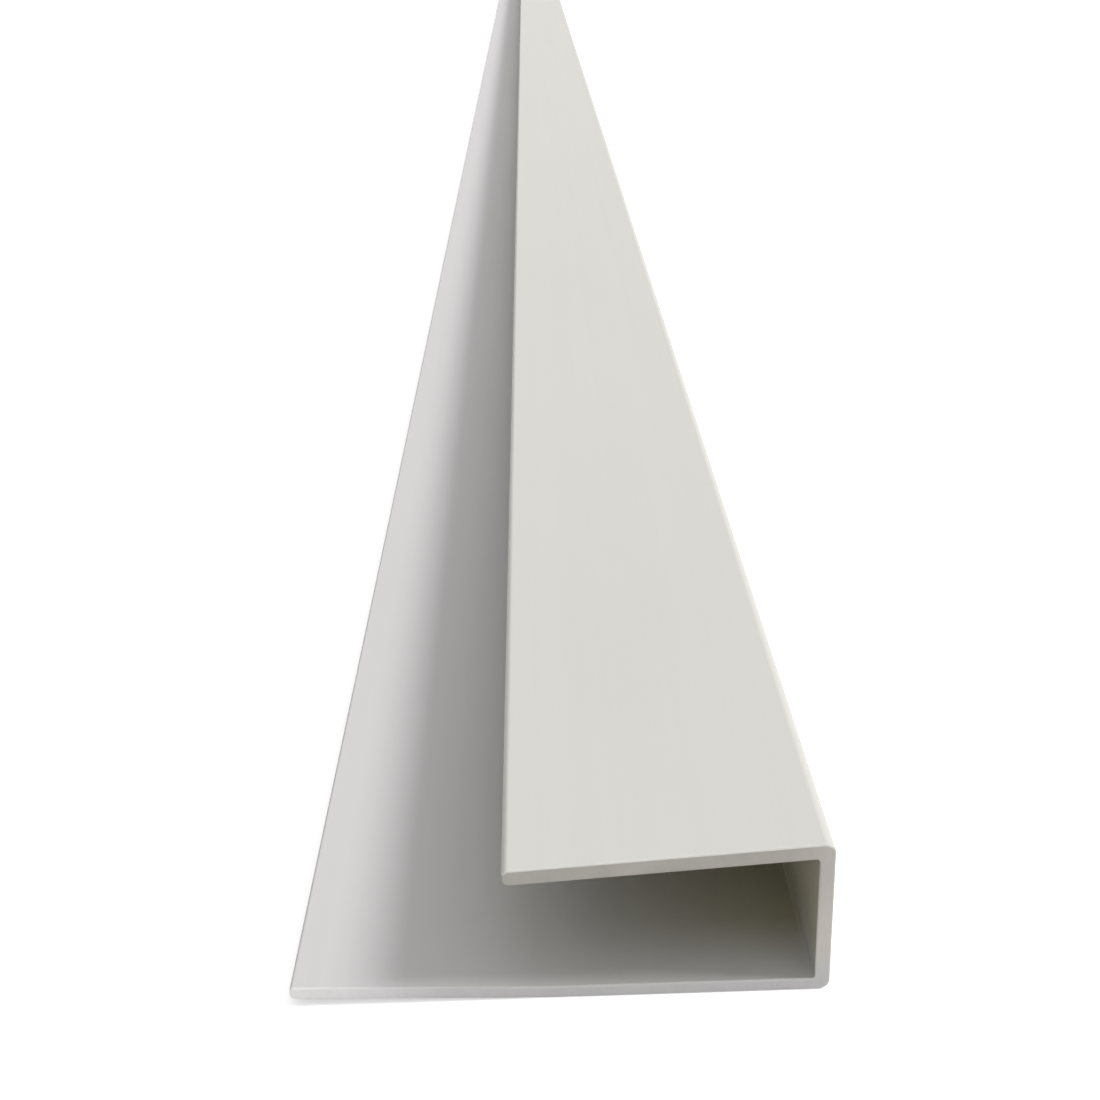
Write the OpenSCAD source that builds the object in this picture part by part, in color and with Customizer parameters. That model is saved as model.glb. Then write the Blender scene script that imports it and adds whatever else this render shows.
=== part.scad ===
// Ceiling end trim: a J-shaped PVC moulding that caps the cut edge of a ceiling panel.
// The long flange is fixed to the battens, the web stands against the wall,
// and the short leg closes over the panel's face. Both legs toe in to grip the panel.
// Lengths are in millimetres. X runs across the section, Y along the stock, Z up.
// The stock lies on its long flange, with its origin at the centre of its footprint.

/* [Stock] */
// Length that the trim is sold in
stock_length = 2600; // [300:10:3000]

/* [Panel channel] */
// Thickness of the panel that the trim caps
panel_t = 10; // [8:0.5:12]
// Extra height at the channel's root, so that the panel's edge slides home
root_clearance = 0.4; // [0.1:0.05:0.8]

/* [Long flange] */
// Reach of the long flange from the web's outer face to its tip
flange_w = 40; // [34:0.5:50]
// Wall thickness of the long flange
flange_t = 1; // [0.8:0.05:1.2]
// Width of the flat root that the flange rests on, measured from the web's outer face
flange_root_w = 18; // [14:0.5:22]
// Angle that the fixing strip turns up beyond the root, in degrees
flange_toe = 2; // [0.5:0.25:3]
// Radius on the underside of the bend between the root and the fixing strip
flange_bend_r = 180; // [120:5:240]
// Rounding of both edges of the flange's tip
flange_tip_r = 0.35; // [0.15:0.05:0.4]

/* [Web] */
// Wall thickness of the web
web_t = 1.15; // [0.9:0.05:1.4]

/* [Short leg] */
// Reach of the short leg from the web's outer face to its tip
leg_w = 24; // [19:0.5:30]
// Wall thickness of the short leg
leg_t = 1.3; // [1.2:0.05:1.6]
// Angle that the short leg slopes towards the flange, in degrees
leg_toe = 3.5; // [1:0.25:4.5]
// Rounding of both edges of the short leg's tip
leg_tip_r = 0.55; // [0.3:0.05:0.6]

/* [Corners] */
// Outer radius where each leg meets the web
outer_corner_r = 0.8; // [0.5:0.05:1]
// Inner radius where each leg meets the web
inner_corner_r = 0.25; // [0.15:0.05:0.5]

/* [Hidden] */
$fn = 96;
// How far the cutting shapes run out past the faces that they cut
overrun = 0.2;
// How far each corner's circle runs over its two sides, so that it always meets them
arc_bite = 0.0002;

// Section coordinates: x across, y up, with the web's outer face at web_x.
web_x = flange_w / 2;
web_inner_x = web_x - web_t;
leftward = [-1, 0];
upward = [0, 1];

// Long flange: the flat root and the turned-up fixing strip meet in a shallow bend.
// The bend starts at bend_x on both faces, and its radius is larger on the underside.
bend_x = web_x - flange_root_w;
strip_out = [-cos(flange_toe), sin(flange_toe)];
strip_up = [sin(flange_toe), cos(flange_toe)];
bend_low = [bend_x - flange_bend_r * tan(flange_toe / 2), 0];
bend_high_r = flange_bend_r - flange_t;
bend_high = [bend_x - bend_high_r * tan(flange_toe / 2), flange_t];
strip_w = (bend_low.x + flange_w / 2) / cos(flange_toe);
flange_tip_low = bend_low + strip_w * strip_out;
flange_tip_high = flange_tip_low + flange_t * strip_up;

// Channel: its height at the root is measured along the web's inner face.
root_gap = panel_t + root_clearance;
web_inner_top = flange_t + root_gap;

// Short leg: its underside starts at the top of the web's inner face.
leg_out = [-cos(leg_toe), -sin(leg_toe)];
leg_up = [-sin(leg_toe), cos(leg_toe)];
trim_h = web_inner_top + web_t * tan(leg_toe) + leg_t / cos(leg_toe);
leg_tip_high = [web_x, trim_h] + leg_w / cos(leg_toe) * leg_out;
leg_tip_low = leg_tip_high - leg_t * leg_up;

function unit(v) = v / norm(v);

// A corner is its point, the unit directions of its two sides and its radius.
// The piece between the corner and its arc is what rounding the corner removes.
module corner_piece(corner, side_a, side_b, r) {
    bisector = unit(side_a + side_b);
    half_angle = acos(side_a * side_b) / 2;
    centre = corner + (r - arc_bite) / sin(half_angle) * bisector;
    reach = r / tan(half_angle);
    difference() {
        polygon([
            corner - overrun * bisector,
            corner + reach * side_a,
            centre,
            corner + reach * side_b
        ]);
        translate(centre) circle(r = r);
    }
}

// Outline of the section with its channel still closed.
module closed_section() {
    polygon([
        [web_x, 0],
        bend_low,
        flange_tip_low,
        flange_tip_high,
        leg_tip_high,
        [web_x, trim_h]
    ]);
}

// The channel between the legs, open at its mouth, with the bend and both inner corners rounded.
module channel() {
    inner_low = [web_inner_x, flange_t];
    inner_high = [web_inner_x, web_inner_top];
    difference() {
        polygon([
            flange_tip_high + overrun * strip_out,
            bend_high,
            inner_low,
            inner_high,
            leg_tip_low,
            leg_tip_high,
            [flange_tip_high.x - overrun, trim_h]
        ]);
        corner_piece(bend_high, -leftward, strip_out, bend_high_r);
        corner_piece(inner_low, leftward, upward, inner_corner_r);
        corner_piece(inner_high, leg_out, -upward, inner_corner_r);
    }
}

// The whole J section, with its outer edges rounded.
module trim_section() {
    difference() {
        closed_section();
        channel();
        corner_piece(bend_low, -leftward, strip_out, flange_bend_r);
        corner_piece([web_x, 0], leftward, upward, outer_corner_r);
        corner_piece([web_x, trim_h], leg_out, -upward, outer_corner_r);
        corner_piece(flange_tip_low, -strip_out, strip_up, flange_tip_r);
        corner_piece(flange_tip_high, -strip_out, -strip_up, flange_tip_r);
        corner_piece(leg_tip_high, -leg_out, -leg_up, leg_tip_r);
        corner_piece(leg_tip_low, -leg_out, leg_up, leg_tip_r);
    }
}

// One extrusion, sawn square at both ends.
module end_trim() {
    color([0.86, 0.86, 0.84])
        rotate([90, 0, 0])
            linear_extrude(height = stock_length, center = true)
                trim_section();
}

end_trim();
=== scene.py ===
"""Builds the visual model of a ceiling end trim: one length of white PVC J moulding.

The moulding is swept from the same section as the solid, at its real size, with sawn ends, and gets
procedural finishes for its extruded and sawn faces. The stage is a pale floor under a soft sky that
is brightest overhead, with a broad key light and two level lights on the near sawn end.
"""

import math

import bmesh
import bpy
from bpy.props import FloatProperty, FloatVectorProperty, IntProperty, PointerProperty
from bpy.types import Operator, Panel, PropertyGroup
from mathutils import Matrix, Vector, noise


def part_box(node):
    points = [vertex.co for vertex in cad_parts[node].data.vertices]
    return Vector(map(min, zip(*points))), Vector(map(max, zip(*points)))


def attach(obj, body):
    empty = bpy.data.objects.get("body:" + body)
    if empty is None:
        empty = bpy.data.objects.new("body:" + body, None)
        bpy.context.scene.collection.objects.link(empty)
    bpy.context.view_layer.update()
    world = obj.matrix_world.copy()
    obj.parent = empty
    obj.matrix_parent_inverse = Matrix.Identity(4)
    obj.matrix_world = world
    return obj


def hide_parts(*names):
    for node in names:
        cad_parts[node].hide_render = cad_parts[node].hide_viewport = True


bl_info = {
    "name": "Ceiling End Trim",
    "version": (1, 0, 0),
    "blender": (4, 5, 0),
    "location": "3D View > Sidebar > End Trim",
    "description": "Builds a white PVC J moulding that caps the edge of a ceiling panel",
    "category": "Object",
}

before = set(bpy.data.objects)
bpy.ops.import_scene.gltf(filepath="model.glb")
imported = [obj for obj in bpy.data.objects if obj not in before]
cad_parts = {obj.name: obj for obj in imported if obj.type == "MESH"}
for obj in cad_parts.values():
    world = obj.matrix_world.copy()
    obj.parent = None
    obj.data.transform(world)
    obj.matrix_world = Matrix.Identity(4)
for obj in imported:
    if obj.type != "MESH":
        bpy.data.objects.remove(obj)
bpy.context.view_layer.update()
TRIM_LOW, TRIM_HIGH = (Vector(corner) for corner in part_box("end_trim"))

MM = 0.001

PVC_IOR = 1.53
# Most values of a noise texture lie between these two.
NOISE_LOW = 0.3
NOISE_HIGH = 0.7
# Sizes of the broad and the fine wander of the saw's arris.
ARRIS_BROAD = 1.7 * MM
ARRIS_FINE = 0.5 * MM
# Material slot of the sawn finish. The extruded finish has the first slot.
SAWN = 1
# Where the outline's outward direction rises more than this, the arris keeps the extruded finish.
UPWARD = 0.5
# Slant of the saw's strokes on the cut faces.
STROKE_SLANT = math.radians(14.0)


def length(name, description, millimetres):
    """A length property, given in millimetres and kept in metres."""
    return FloatProperty(
        name=name,
        description=description,
        default=millimetres * MM,
        min=0.0,
        precision=5,
        unit="LENGTH",
    )


def angle(name, description, degrees):
    """An angle property, given in degrees and kept in radians."""
    return FloatProperty(
        name=name,
        description=description,
        default=math.radians(degrees),
        precision=4,
        subtype="ANGLE",
    )


def share(name, description, default):
    """A property from 0 to 1."""
    return FloatProperty(
        name=name,
        description=description,
        default=default,
        min=0.0,
        max=1.0,
        subtype="FACTOR",
    )


def colour(name, description, screen_values):
    """A colour property, given as it shows on a screen, from 0 to 255."""
    return FloatVectorProperty(
        name=name,
        description=description,
        default=[linear(value / 255) for value in screen_values],
        min=0.0,
        max=1.0,
        size=3,
        subtype="COLOR",
    )


def linear(value):
    """Turns a screen colour value, from 0 to 1, into a linear one."""
    if value <= 0.04045:
        return value / 12.92
    return ((value + 0.055) / 1.055) ** 2.4


class SectionSizes(PropertyGroup):
    """Sizes of the J section. Its width comes from the frame's box."""

    flange_wall: length("Flange wall", "Thickness of the long fixing flange", 1.0)
    flange_root: length(
        "Flange root",
        "Width of the flange's flat root, from the web's outer face",
        18.0,
    )
    flange_toe: angle("Flange toe", "Angle that the fixing strip turns up beyond the root", 2.0)
    flange_bend: length("Flange bend", "Radius on the underside of the flange's shallow bend", 180.0)
    flange_tip: length("Flange tip", "Rounding of the lower edge of the flange's tip", 0.35)
    flange_tip_top: length("Flange tip top", "Rounding of the upper edge of the flange's tip", 0.26)
    channel_root: length("Channel root", "Clear height of the channel along the web", 10.4)
    web_wall: length("Web wall", "Thickness of the web", 1.15)
    leg_reach: length("Leg reach", "Reach of the short leg from the web's outer face", 24.0)
    leg_wall: length("Leg wall", "Thickness of the short leg", 1.3)
    leg_toe: angle("Leg toe", "Angle that the short leg slopes towards the flange", 3.5)
    leg_tip: length("Leg tip", "Rounding of both edges of the short leg's tip", 0.55)
    outer_corner: length("Outer corner", "Outer radius where each leg meets the web", 0.8)
    inner_corner: length("Inner corner", "Inner radius where each leg meets the web", 0.25)


class CutSizes(PropertyGroup):
    """How the saw left both ends, and how finely the moulding is meshed."""

    arris: length("Arris", "Rounding that deburring leaves along the cut's edge", 0.15)
    arris_wander: share("Arris wander", "How much that rounding varies along the edge", 0.35)
    arris_steps: IntProperty(
        name="Arris steps",
        description="Facets across the rounded arris",
        default=3,
        min=1,
        max=8,
    )
    facet_angle: angle("Facet angle", "Turn between neighbouring facets of the small radii", 7.5)
    bend_facets: IntProperty(
        name="Bend facets",
        description="Facets across the flange's shallow bend",
        default=10,
        min=2,
        max=40,
    )
    station: length("Station", "Distance between the mesh's cross-sections along the stock", 65.0)


class PvcFinish(PropertyGroup):
    """Colours, painted shade and relief of the extruded and sawn PVC."""

    body_white: colour("Body white", "Warm white of the web and the short leg", (216, 214, 208))
    # Painted tint of light and shade: the root white stands where the short leg shades the flange, the
    # cooler strip white where the key light reaches it.
    shaded_root_white: colour(
        "Root white",
        "White of the flange's root and of the channel's mouth",
        (209, 208, 206),
    )
    lit_strip_white: colour(
        "Strip white",
        "Slightly cooler white of the open fixing strip",
        (208, 205, 207),
    )
    lit_tint_start: length(
        "Strip start",
        "Distance from the web's outer face at which the cooler white begins",
        26.0,
    )
    lit_tint_fade: length("Strip fade", "Width of the change from one white to the other", 8.0)
    # Painted shade: a darker, warmer white stands in for the shade deep in the channel.
    channel_shade_white: colour("Cream", "Creamier white deep in the channel", (190, 186, 167))
    channel_shade_start: length(
        "Cream start",
        "Distance from the web's outer face at which the cream begins",
        20.0,
    )
    channel_shade_inset: length("Cream inset", "Distance from a sawn end at which the cream is full", 7.5)
    gloss: share(
        "Gloss",
        "Strength of the PVC's reflections, where one half is that of a clean surface",
        0.15,
    )
    sawn_body: colour("Sawn body", "White of the web's and the short leg's sawn ends", (216, 211, 203))
    sawn_flange: colour(
        "Sawn flange",
        "Slightly cooler white of the flange's sawn ends",
        (214, 212, 212),
    )
    roughness: share("Roughness", "Roughness of the satin extruded faces", 0.48)
    sawn_roughness: share("Sawn roughness", "Roughness of the sawn faces", 0.62)
    die_line: length("Die line", "Depth of the fine lines that the die leaves along the stock", 0.004)
    ripple: length("Ripple", "Depth of the haul-off's broad ripples across the stock", 0.006)
    orange_peel: length("Orange peel", "Depth of the skin's fine pebbling", 0.0015)
    saw_mark: length("Saw mark", "Depth of the saw's strokes across the cut faces", 0.006)
    # Painted shade: darkens the sawn end of the short leg.
    leg_end_shade: share("Leg smudge", "How much the saw has dulled the short leg's end", 0.29)
    saw_pitch: length("Saw pitch", "Distance between the saw's strokes", 0.32)


class StageSettings(PropertyGroup):
    """Floor, sky, lights and camera."""

    floor_size: length("Floor size", "Side of the square floor", 16000.0)
    floor_drop: length("Floor drop", "Gap that keeps the floor clear of the flange's root", 0.02)
    floor_tone: share("Floor tone", "Brightness of the floor as other surfaces see it", 0.5)
    sky_strength: FloatProperty(
        name="Sky strength",
        description="Brightness of the sky overhead as a light",
        default=0.88,
        min=0.0,
    )
    sky_lean: angle("Sky lean", "Lean of the sky's brightest part towards the web's side", 5.0)
    horizon: share("Horizon", "Brightness of the sky at the horizon, as a share of its brightest", 0.0)
    floor_glow: share(
        "Floor glow",
        "Brightness that lifts the floor to white where it is seen directly",
        0.5,
    )
    key_strength: FloatProperty(
        name="Key strength",
        description="Strength of the soft key light, in watts per square metre",
        default=2.08,
        min=0.0,
    )
    key_height: angle("Key height", "Height of the key light above the floor, on the web's side", 43.2)
    key_swing: angle("Key swing", "Turn of the key light towards the far end", 2.0)
    key_spread: angle(
        "Key spread",
        "Angle that the key light's disc spans, which softens its shadows",
        17.0,
    )
    front_strength: FloatProperty(
        name="Front strength",
        description="Strength of the level light on the near sawn end, in watts per square metre",
        default=1.42,
        min=0.0,
    )
    tip_power: FloatProperty(
        name="Tip power",
        description="Power of the small lamp that picks out the flange's tip, in watts",
        default=0.165,
        min=0.0,
        precision=4,
    )
    tip_cone: angle("Tip cone", "Full angle of the small lamp's soft cone", 40.0)
    tip_place: FloatVectorProperty(
        name="Tip place",
        description="Position of the small lamp from the middle of the near end's foot",
        default=(-34.0 * MM, -80.0 * MM, 0.5 * MM),
        size=3,
        precision=5,
        subtype="TRANSLATION",
        unit="LENGTH",
    )
    lens: FloatProperty(
        name="Lens",
        description="Focal length of the camera on a 36 mm sensor, in millimetres",
        default=50.757,
        min=1.0,
    )
    camera_place: FloatVectorProperty(
        name="Camera place",
        description="Camera position from the middle of the near end's foot",
        default=(-0.12 * MM, -92.675 * MM, 75.844 * MM),
        size=3,
        precision=5,
        subtype="TRANSLATION",
        unit="LENGTH",
    )
    camera_turn: FloatVectorProperty(
        name="Camera turn",
        description="Camera rotation about X, Y and Z",
        default=(math.radians(66.799), math.radians(1.596), math.radians(-0.912)),
        size=3,
        precision=5,
        subtype="EULER",
    )


def in_section(x, z):
    """A point or direction of the cross-section."""
    return Vector((x, 0.0, z))


def section_corners(sizes):
    """The section's sharp corners with their radii, in order round the outline."""
    web_outer = TRIM_HIGH.x
    web_inner = web_outer - sizes.web_wall
    bend = web_outer - sizes.flange_root
    strip_out = in_section(-math.cos(sizes.flange_toe), math.sin(sizes.flange_toe))
    strip_up = in_section(math.sin(sizes.flange_toe), math.cos(sizes.flange_toe))
    bend_high_radius = sizes.flange_bend - sizes.flange_wall
    half_toe = math.tan(sizes.flange_toe / 2)
    bend_low = in_section(bend - sizes.flange_bend * half_toe, 0.0)
    bend_high = in_section(bend - bend_high_radius * half_toe, sizes.flange_wall)
    strip = (web_outer + bend_low.x) / math.cos(sizes.flange_toe)
    flange_tip_low = bend_low + strip * strip_out
    flange_tip_high = flange_tip_low + sizes.flange_wall * strip_up

    leg_out = in_section(-math.cos(sizes.leg_toe), -math.sin(sizes.leg_toe))
    leg_up = in_section(-math.sin(sizes.leg_toe), math.cos(sizes.leg_toe))
    channel_top = sizes.flange_wall + sizes.channel_root
    leg_rise = sizes.web_wall * math.tan(sizes.leg_toe) + sizes.leg_wall / math.cos(sizes.leg_toe)
    web_top = in_section(web_outer, channel_top + leg_rise)
    leg_tip_high = web_top + sizes.leg_reach / math.cos(sizes.leg_toe) * leg_out
    leg_tip_low = leg_tip_high - sizes.leg_wall * leg_up

    return [
        (in_section(web_outer, 0.0), sizes.outer_corner),
        (web_top, sizes.outer_corner),
        (leg_tip_high, sizes.leg_tip),
        (leg_tip_low, sizes.leg_tip),
        (in_section(web_inner, channel_top), sizes.inner_corner),
        (in_section(web_inner, sizes.flange_wall), sizes.inner_corner),
        (bend_high, bend_high_radius),
        (flange_tip_high, sizes.flange_tip_top),
        (flange_tip_low, sizes.flange_tip),
        (bend_low, sizes.flange_bend),
    ]


def rounded_outline(corners, cut):
    """Points of the outline with their outward normals, each corner turned into an arc."""
    outline = []
    count = len(corners)
    for index, (corner, radius) in enumerate(corners):
        before = (corners[index - 1][0] - corner).normalized()
        after = (corners[(index + 1) % count][0] - corner).normalized()
        turn = math.pi - before.angle(after)
        bisector = (before + after).normalized()
        centre = corner + bisector * radius / math.cos(turn / 2)
        convex = before.cross(after).y > 0
        first = corner + before * radius * math.tan(turn / 2) - centre
        last = corner + after * radius * math.tan(turn / 2) - centre
        shallow = turn < cut.facet_angle
        facets = cut.bend_facets if shallow else math.ceil(turn / cut.facet_angle)
        for step in range(facets + 1):
            part = step / facets
            swung = first * math.sin((1 - part) * turn) + last * math.sin(part * turn)
            spoke = swung / math.sin(turn)
            outward = spoke.normalized() if convex else -spoke.normalized()
            outline.append((centre + spoke, outward))
    return outline


def arris_radius(point, end_y, cut):
    """Rounding of the cut's edge near a point, which wanders a little along the edge."""
    wander = noise.noise(Vector((point.x, end_y, point.z)) / ARRIS_BROAD)
    fine = noise.noise(Vector((point.x, end_y + 1.0, point.z)) / ARRIS_FINE)
    return cut.arris * (1 + cut.arris_wander * (wander + 0.5 * fine))


def arris_ring(outline, end_y, inward, step, cut):
    """Points and normals round the cut's edge, from its sides at step 0 to the sawn face."""
    roll = math.pi / 2 * step / cut.arris_steps
    ring = []
    for point, outward in outline:
        radius = arris_radius(point, end_y, cut)
        inset = radius * (1 - math.cos(roll))
        depth = radius * (1 - math.sin(roll))
        along = Vector((0.0, end_y + inward * depth, 0.0))
        normal = outward * math.cos(roll) - Vector((0.0, inward, 0.0)) * math.sin(roll)
        ring.append((point - outward * inset + along, normal))
    return ring


def stock_rings(outline, cut):
    """Points and normals of every cross-section, from the near sawn face to the far one."""
    near, far = TRIM_LOW.y, TRIM_HIGH.y
    steps = range(cut.arris_steps + 1)
    stations = max(2, round((far - near) / cut.station))
    rings = [arris_ring(outline, near, 1.0, step, cut) for step in reversed(steps)]
    for station in range(1, stations):
        along = Vector((0.0, near + (far - near) * station / stations, 0.0))
        rings.append([(point + along, outward) for point, outward in outline])
    rings += [arris_ring(outline, far, -1.0, step, cut) for step in steps]
    return rings


def shade_smooth(mesh, normals, flat):
    """Gives every corner of the mesh its vertex's exact normal, apart from the flat faces."""
    mesh.polygons.foreach_set("use_smooth", [True] * len(mesh.polygons))
    corner_normals = []
    for polygon in mesh.polygons:
        for vertex in polygon.vertices:
            normal = polygon.normal if polygon.index in flat else normals[vertex]
            corner_normals.append(tuple(normal))
    mesh.normals_split_custom_set(corner_normals)


def moulding_mesh(name, sizes, cut):
    """Sweeps the section along the stock and closes both sawn ends with a rounded arris."""
    outline = rounded_outline(section_corners(sizes), cut)
    rings = stock_rings(outline, cut)
    bm = bmesh.new()
    loops = [[bm.verts.new(point) for point, normal in ring] for ring in rings]
    count = len(outline)
    last_strip = len(loops) - 2
    for strip, (near, far) in enumerate(zip(loops, loops[1:])):
        on_arris = min(strip, last_strip - strip) < cut.arris_steps
        for index in range(count):
            following = (index + 1) % count
            face = bm.faces.new((near[index], far[index], far[following], near[following]))
            if on_arris and outline[index][1].z < UPWARD:
                face.material_index = SAWN
    caps = [bm.faces.new(loops[0]), bm.faces.new(list(reversed(loops[-1])))]
    for cap in caps:
        cap.material_index = SAWN
    bm.normal_update()
    cap_faces = bmesh.ops.triangulate(bm, faces=caps, ngon_method="EAR_CLIP")["faces"]
    bm.faces.index_update()
    flat = {face.index for face in cap_faces}
    mesh = bpy.data.meshes.new(name)
    bm.to_mesh(mesh)
    bm.free()
    shade_smooth(mesh, [normal for ring in rings for point, normal in ring], flat)
    return mesh


class Wiring:
    """Adds nodes to a material and links them, so that a finish reads from top to bottom."""

    def __init__(self, tree):
        self.tree = tree

    def node(self, kind, settings=None, **inputs):
        """Adds a node with its settings and inputs, whose names have underscores for spaces."""
        made = self.tree.nodes.new(kind)
        for key, value in (settings or {}).items():
            setattr(made, key, value)
        for key, value in inputs.items():
            self.feed(made.inputs[key.replace("_", " ")], value)
        return made

    def feed(self, socket, value):
        """Links another node's output to a socket, or sets the socket's own value."""
        if isinstance(value, bpy.types.NodeSocket):
            self.tree.links.new(value, socket)
        else:
            socket.default_value = value

    def stretched(self, coordinates, scale):
        """Coordinates with each axis multiplied by its own factor."""
        mapping = self.node("ShaderNodeMapping", Vector=coordinates, Scale=scale)
        return mapping.outputs["Vector"]

    def speckle(self, coordinates, scale, detail=3.0, roughness=0.5):
        """Noise from 0 to 1, its scale in specks per metre."""
        made = self.node(
            "ShaderNodeTexNoise",
            Vector=coordinates,
            Scale=scale,
            Detail=detail,
            Roughness=roughness,
        )
        return made.outputs["Fac"]

    def ramp(self, value, low, high, start=0.0, end=1.0):
        """Goes from low to high while the value goes from start to end."""
        made = self.node("ShaderNodeMapRange", Value=value)
        made.inputs["From Min"].default_value = start
        made.inputs["From Max"].default_value = end
        made.inputs["To Min"].default_value = low
        made.inputs["To Max"].default_value = high
        return made.outputs["Result"]

    def varied(self, noise_value, low, high):
        """Spreads the values of a noise texture between low and high."""
        return self.ramp(noise_value, low, high, NOISE_LOW, NOISE_HIGH)

    def maths(self, operation, *values):
        """Result of one operation on values."""
        made = self.node("ShaderNodeMath", {"operation": operation})
        for index, value in enumerate(values):
            self.feed(made.inputs[index], value)
        return made.outputs[0]

    def sum(self, *values):
        """Adds all the values."""
        total = values[0]
        for value in values[1:]:
            total = self.maths("ADD", total, value)
        return total

    def vector_maths(self, operation, *values):
        """Result of one operation on vectors."""
        made = self.node("ShaderNodeVectorMath", {"operation": operation})
        for index, value in enumerate(values):
            self.feed(made.inputs[index], value)
        return made.outputs["Value" if operation == "DOT_PRODUCT" else "Vector"]

    def mixed(self, factor, first, second):
        """Mixes two values."""
        made = self.node("ShaderNodeMix", {"data_type": "FLOAT"})
        self.feed(made.inputs["Factor"], factor)
        self.feed(made.inputs["A"], first)
        self.feed(made.inputs["B"], second)
        return made.outputs["Result"]

    def blend(self, factor, first, second, blend_type="MIX"):
        """Mixes two colours."""
        made = self.node("ShaderNodeMix", {"data_type": "RGBA", "blend_type": blend_type})
        self.feed(made.inputs["Factor"], factor)
        self.feed(made.inputs["A"], first)
        self.feed(made.inputs["B"], second)
        return made.outputs["Result"]

    def toned(self, paint, tone):
        """Multiplies a colour by a grey tone."""
        grey = self.node("ShaderNodeCombineColor", Red=tone, Green=tone, Blue=tone)
        return self.blend(1.0, paint, grey.outputs["Color"], "MULTIPLY")

    def relief(self, height, distance, below=None):
        """A bump of the given depth, laid over the relief below it."""
        made = self.node("ShaderNodeBump", Height=height, Distance=distance, Strength=1.0)
        if below is not None:
            self.feed(made.inputs["Normal"], below)
        return made.outputs["Normal"]


def new_material(name):
    """A new material, the wiring of its node tree and its output node."""
    material = bpy.data.materials.new(name)
    material.use_nodes = True
    material.node_tree.nodes.clear()
    wiring = Wiring(material.node_tree)
    output = wiring.node("ShaderNodeOutputMaterial")
    return material, wiring, output


def opaque(rgb):
    """A colour with full alpha."""
    return (*rgb, 1.0)


def pvc_shader(wiring, output, finish, roughness, paint, relief):
    """The plastic's shader: a white body under a faint, broad gloss."""
    shader = wiring.node("ShaderNodeBsdfPrincipled")
    shader.inputs["IOR"].default_value = PVC_IOR
    shader.inputs["Specular IOR Level"].default_value = finish.gloss
    wiring.feed(shader.inputs["Base Color"], paint)
    wiring.feed(shader.inputs["Roughness"], roughness)
    wiring.feed(shader.inputs["Normal"], relief)
    wiring.feed(output.inputs["Surface"], shader.outputs["BSDF"])


def channel_shade_mask(wiring, place, finish):
    """Mask of painted shade: zero at the channel's mouth, one at its root, fading on the flange near
    the sawn ends.
    """
    mouth = TRIM_HIGH.x - finish.channel_shade_start
    root = TRIM_HIGH.x - 2 * MM
    cut_edge = TRIM_HIGH.y - 2 * MM
    near_flange = 1.2 * MM
    clear_of_flange = 4.0 * MM
    middle = (TRIM_HIGH.x - finish.channel_shade_start / 2, 0.0, (TRIM_LOW.z + TRIM_HIGH.z) / 2)

    # Only faces that look towards the channel's middle are inside it.
    across = wiring.vector_maths("MULTIPLY", place, (1.0, 0.0, 1.0))
    inward = wiring.vector_maths("SUBTRACT", middle, across)
    face = wiring.node("ShaderNodeNewGeometry").outputs["True Normal"]
    facing = wiring.ramp(wiring.vector_maths("DOT_PRODUCT", face, inward), 0.0, 1.0, 0.0, MM)

    axes = wiring.node("ShaderNodeSeparateXYZ", Vector=place)
    depth = wiring.ramp(axes.outputs["X"], 0.0, 1.0, mouth, root)
    along = wiring.maths("ABSOLUTE", axes.outputs["Y"])
    inset = wiring.ramp(along, 1.0, 0.0, TRIM_HIGH.y - finish.channel_shade_inset, cut_edge)
    above = wiring.ramp(axes.outputs["Z"], 0.0, 1.0, near_flange, clear_of_flange)
    kept = wiring.maths("MAXIMUM", inset, above)
    return wiring.maths("MULTIPLY", wiring.maths("MULTIPLY", facing, depth), kept)


def leg_and_flange(wiring, height, leg, flange):
    """Blends from the flange's white to that of the short leg, up the web."""
    web_foot = 1.0 * MM
    above_foot = 3.5 * MM
    return wiring.blend(wiring.ramp(height, 0.0, 1.0, web_foot, above_foot), flange, opaque(leg))


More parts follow.
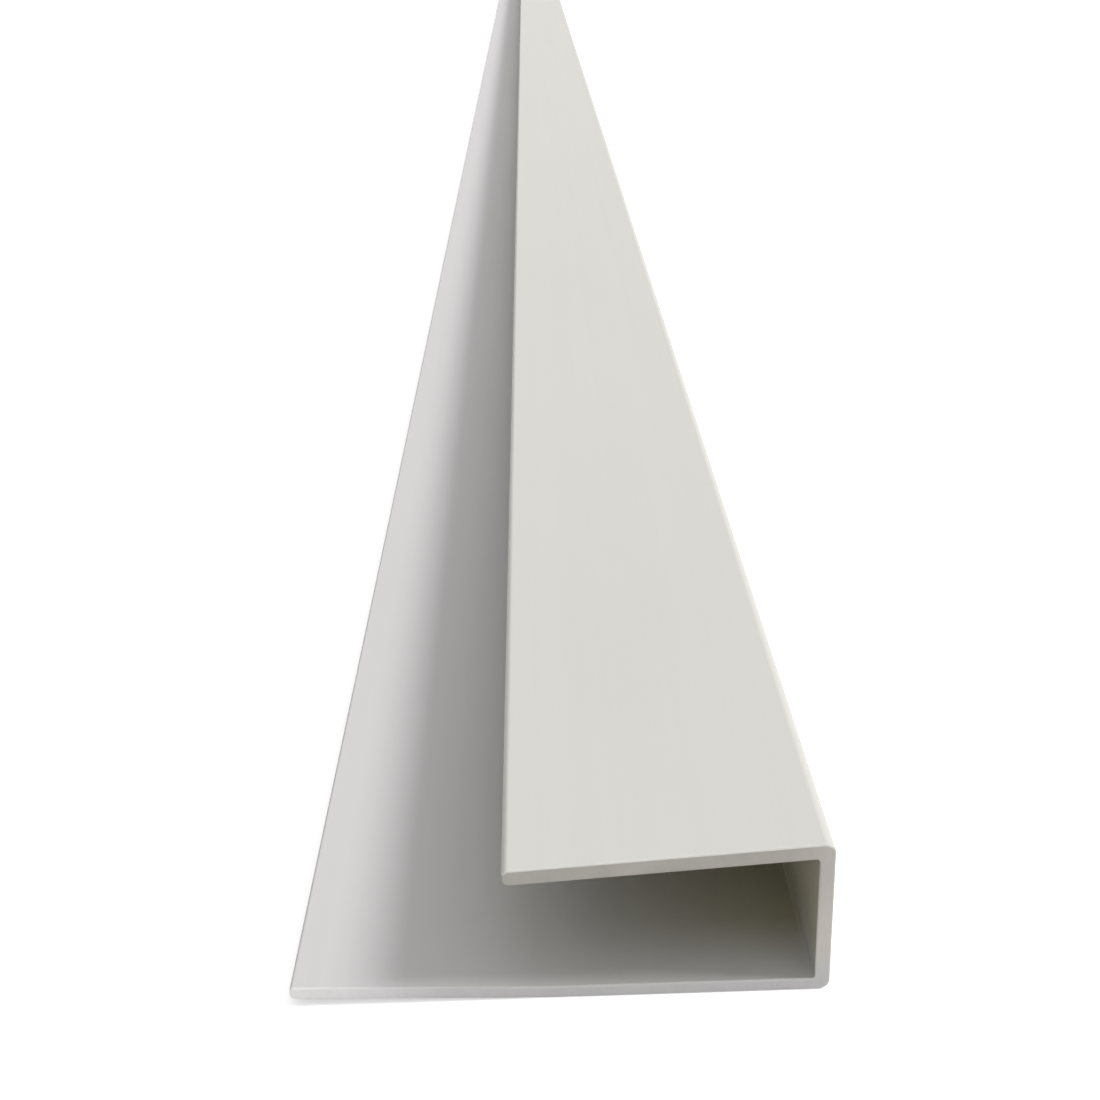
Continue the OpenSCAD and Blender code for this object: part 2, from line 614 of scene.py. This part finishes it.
def extruded_pvc(finish):
    """Satin extruded skin: die lines along the stock, broad ripples across it and a fine pebbling."""
    material, wiring, output = new_material("satin_extruded_pvc")
    place = wiring.node("ShaderNodeTexCoord").outputs["Object"]
    drawn = wiring.stretched(place, (1.0, 0.004, 1.0))
    broad_lines = wiring.speckle(drawn, scale=700.0, detail=2.0)
    fine_lines = wiring.speckle(drawn, scale=3200.0, detail=2.0)
    clouds = wiring.speckle(wiring.stretched(place, (1.0, 0.25, 1.0)), scale=45.0, detail=4.0)
    haul = wiring.speckle(wiring.stretched(place, (0.12, 1.0, 0.12)), scale=70.0, detail=2.0)
    pebbles = wiring.speckle(place, scale=1400.0)

    axes = wiring.node("ShaderNodeSeparateXYZ", Vector=place)
    # Painted tint of light and shade: the flange's white turns cooler where the short leg's shadow
    # ends.
    strip = TRIM_HIGH.x - finish.lit_tint_start
    lit_share = wiring.ramp(axes.outputs["X"], 0.0, 1.0, strip, strip - finish.lit_tint_fade)
    white = wiring.blend(lit_share, opaque(finish.shaded_root_white), opaque(finish.lit_strip_white))
    white = leg_and_flange(wiring, axes.outputs["Z"], finish.body_white, white)
    # Painted shade: the white darkens and warms deep in the channel, where little light reaches.
    white = wiring.blend(channel_shade_mask(wiring, place, finish), white, opaque(finish.channel_shade_white))
    tone = wiring.sum(
        wiring.varied(clouds, 0.978, 1.012),
        wiring.varied(broad_lines, -0.006, 0.006),
        wiring.varied(fine_lines, -0.004, 0.004),
    )
    paint = wiring.toned(white, tone)
    roughness = wiring.sum(
        wiring.varied(clouds, finish.roughness - 0.03, finish.roughness + 0.04),
        wiring.varied(fine_lines, -0.035, 0.035),
    )
    relief = wiring.relief(broad_lines, finish.die_line)
    relief = wiring.relief(fine_lines, finish.die_line / 3, relief)
    relief = wiring.relief(haul, finish.ripple, relief)
    relief = wiring.relief(pebbles, finish.orange_peel, relief)
    pvc_shader(wiring, output, finish, roughness, paint, relief)
    return material


def sawn_pvc(finish):
    """Matt sawn ends: slanting saw strokes, torn specks, a slightly uneven tone and painted shade on
    the short leg's end.
    """
    material, wiring, output = new_material("sawn_pvc")
    place = wiring.node("ShaderNodeTexCoord").outputs["Object"]
    tilted = wiring.node(
        "ShaderNodeMapping",
        Vector=place,
        Rotation=(0.0, STROKE_SLANT, 0.0),
    ).outputs["Vector"]
    # The texture's bands repeat every pi / (10 * scale) metres.
    strokes = wiring.node(
        "ShaderNodeTexWave",
        {"wave_type": "BANDS", "bands_direction": "X", "wave_profile": "SIN"},
        Vector=tilted,
        Scale=math.pi / (10.0 * finish.saw_pitch),
        Distortion=5.0,
        Detail=3.0,
    ).outputs["Fac"]
    stroke_lines = wiring.speckle(wiring.stretched(tilted, (1.0, 1.0, 0.06)), scale=2600.0)
    tears = wiring.speckle(place, scale=5200.0, detail=4.0, roughness=0.65)
    patches = wiring.speckle(place, scale=260.0)

    tone = wiring.sum(
        wiring.varied(patches, 0.94, 1.04),
        wiring.varied(stroke_lines, -0.013, 0.013),
        wiring.varied(tears, -0.02, 0.015),
    )
    axes = wiring.node("ShaderNodeSeparateXYZ", Vector=place)
    # Painted shade: it grows up the web, is full on the leg and halves towards the web's outer face.
    before_web = TRIM_HIGH.x - 3.0 * MM
    outer_edge = TRIM_HIGH.x - 0.5 * MM
    mid_web = 6.0 * MM
    below_leg = 9.5 * MM
    over_web = wiring.ramp(axes.outputs["X"], 1.0, 0.5, before_web, outer_edge)
    on_leg = wiring.ramp(axes.outputs["Z"], 0.0, -finish.leg_end_shade, mid_web, below_leg)
    painted_shade = wiring.maths("MULTIPLY", over_web, on_leg)
    white = leg_and_flange(wiring, axes.outputs["Z"], finish.sawn_body, opaque(finish.sawn_flange))
    paint = wiring.toned(white, wiring.sum(tone, painted_shade))
    roughness = wiring.varied(patches, finish.sawn_roughness - 0.06, finish.sawn_roughness + 0.08)
    relief = wiring.relief(strokes, finish.saw_mark * 0.4)
    relief = wiring.relief(stroke_lines, finish.saw_mark, relief)
    relief = wiring.relief(tears, finish.saw_mark * 0.5, relief)
    pvc_shader(wiring, output, finish, roughness, paint, relief)
    return material


def seen_directly(wiring):
    """One for rays from the camera, a mirror or a clear pane, and zero for diffuse light."""
    path = wiring.node("ShaderNodeLightPath")
    seen = wiring.sum(
        path.outputs["Is Camera Ray"],
        path.outputs["Is Glossy Ray"],
        path.outputs["Is Transmission Ray"],
    )
    capped = wiring.node("ShaderNodeClamp", Value=seen)
    return capped.outputs["Result"]


def floor_material(stage):
    """Pale matt floor, which shows white and keeps the trim's shadow."""
    material, wiring, output = new_material("pale_floor")
    bounce = opaque([stage.floor_tone] * 3)
    seen = seen_directly(wiring)
    paint = wiring.blend(seen, bounce, opaque([1.0] * 3))
    shader = wiring.node("ShaderNodeBsdfDiffuse", Color=paint)
    glow = wiring.node("ShaderNodeEmission", Strength=wiring.ramp(seen, 0.0, stage.floor_glow))
    both = wiring.node("ShaderNodeAddShader")
    wiring.feed(both.inputs[0], shader.outputs["BSDF"])
    wiring.feed(both.inputs[1], glow.outputs["Emission"])
    wiring.feed(output.inputs["Surface"], both.outputs["Shader"])
    return material


def soft_sky(stage):
    """A sky that fades from overhead to the horizon as a light, and shows white where it is seen."""
    world = bpy.data.worlds.new("soft_sky")
    world.use_nodes = True
    world.node_tree.nodes.clear()
    wiring = Wiring(world.node_tree)
    direction = wiring.node("ShaderNodeTexCoord").outputs["Generated"]
    brightest = Vector((math.sin(stage.sky_lean), 0.0, math.cos(stage.sky_lean)))
    nearness = wiring.vector_maths("DOT_PRODUCT", direction, brightest)
    light = wiring.ramp(nearness, stage.sky_strength * stage.horizon, stage.sky_strength)
    strength = wiring.mixed(seen_directly(wiring), light, 1.0)
    background = wiring.node("ShaderNodeBackground", Color=(1.0, 1.0, 1.0, 1.0), Strength=strength)
    output = wiring.node("ShaderNodeOutputWorld")
    wiring.feed(output.inputs["Surface"], background.outputs["Background"])
    return world


def placed(name, data):
    """Links a new object into the scene."""
    made = bpy.data.objects.new(name, data)
    bpy.context.scene.collection.objects.link(made)
    return made


def key_light(stage):
    """A broad key light that reaches the whole stock evenly, from above the web's side."""
    data = bpy.data.lights.new("key_light", "SUN")
    data.energy = stage.key_strength
    data.angle = stage.key_spread
    light = placed("key_light", data)
    light.location = (1.0, 0.0, 1.0)
    light.rotation_euler = (0.0, math.pi / 2 - stage.key_height, stage.key_swing)
    return light


def end_lights(stage):
    """Level lights that reach only the near sawn end: one even, one picking out the flange's tip."""
    data = bpy.data.lights.new("front_light", "SUN")
    data.energy = stage.front_strength
    data.angle = math.radians(1.0)
    front = placed("front_light", data)
    front.location = (0.0, TRIM_LOW.y - 0.5, 0.0)
    front.rotation_euler = (math.pi / 2, 0.0, 0.0)

    data = bpy.data.lights.new("tip_light", "SPOT")
    data.energy = stage.tip_power
    data.spot_size = stage.tip_cone
    data.spot_blend = 1.0
    data.shadow_soft_size = 2.0 * MM
    tip = placed("tip_light", data)
    tip.location = Vector((0.0, TRIM_LOW.y, 0.0)) + Vector(stage.tip_place)
    tip.rotation_euler = (math.pi / 2, 0.0, 0.0)


def photo_camera(stage):
    """The camera, close above the near end and looking along the stock."""
    data = bpy.data.cameras.new("camera")
    data.sensor_width = 36.0
    data.lens = stage.lens
    data.clip_start = 0.01
    data.clip_end = 100.0
    camera = placed("camera", data)
    camera.location = Vector((0.0, TRIM_LOW.y, 0.0)) + Vector(stage.camera_place)
    camera.rotation_euler = stage.camera_turn
    return camera


class ENDTRIM_OT_moulding(Operator):
    """Build the PVC moulding with its extruded and sawn finishes"""

    bl_idname = "endtrim.moulding"
    bl_label = "Build Moulding"

    def execute(self, context):
        scene = context.scene
        mesh = moulding_mesh("j_moulding", scene.trim_section, scene.trim_cut)
        mesh.materials.append(extruded_pvc(scene.trim_finish))
        mesh.materials.append(sawn_pvc(scene.trim_finish))
        moulding = placed("j_moulding", mesh)
        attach(moulding, "root")
        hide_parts("end_trim")
        return {"FINISHED"}


class ENDTRIM_OT_stage(Operator):
    """Build the floor, the sky, the lights and the camera"""

    bl_idname = "endtrim.stage"
    bl_label = "Build Stage"

    def execute(self, context):
        scene = context.scene
        stage = scene.trim_stage
        half = stage.floor_size / 2
        mesh = bpy.data.meshes.new("floor")
        corners = [(-half, -half, 0.0), (half, -half, 0.0), (half, half, 0.0), (-half, half, 0.0)]
        mesh.from_pydata(corners, [], [(0, 1, 2, 3)])
        mesh.materials.append(floor_material(stage))
        floor = placed("floor", mesh)
        floor.location.z = -stage.floor_drop
        key_light(stage)
        end_lights(stage)
        scene.world = soft_sky(stage)
        scene.camera = photo_camera(stage)
        scene.view_settings.view_transform = "Standard"
        return {"FINISHED"}


class ENDTRIM_PT_panel(Panel):
    """Sizes, finishes and stage of the end trim"""

    bl_idname = "ENDTRIM_PT_panel"
    bl_label = "Ceiling End Trim"
    bl_space_type = "VIEW_3D"
    bl_region_type = "UI"
    bl_category = "End Trim"

    def draw(self, context):
        for group_name, operator in (
            ("trim_section", None),
            ("trim_cut", None),
            ("trim_finish", ENDTRIM_OT_moulding),
            ("trim_stage", ENDTRIM_OT_stage),
        ):
            group = getattr(context.scene, group_name)
            box = self.layout.box()
            for key in group.__annotations__:
                box.prop(group, key)
            if operator is not None:
                box.operator(operator.bl_idname)


GROUPS = {
    "trim_section": SectionSizes,
    "trim_cut": CutSizes,
    "trim_finish": PvcFinish,
    "trim_stage": StageSettings,
}
CLASSES = (*GROUPS.values(), ENDTRIM_OT_moulding, ENDTRIM_OT_stage, ENDTRIM_PT_panel)


def register():
    """Registers the classes and gives the scene its groups of properties."""
    for item in CLASSES:
        bpy.utils.register_class(item)
    for name, group in GROUPS.items():
        setattr(bpy.types.Scene, name, PointerProperty(type=group))


def unregister():
    """Takes the groups of properties and the classes away again."""
    for name in GROUPS:
        delattr(bpy.types.Scene, name)
    for item in reversed(CLASSES):
        bpy.utils.unregister_class(item)


def main():
    """Builds the moulding and its stage."""
    register()
    bpy.ops.endtrim.moulding()
    bpy.ops.endtrim.stage()
    bpy.context.view_layer.update()


if __name__ == "__main__":
    main()
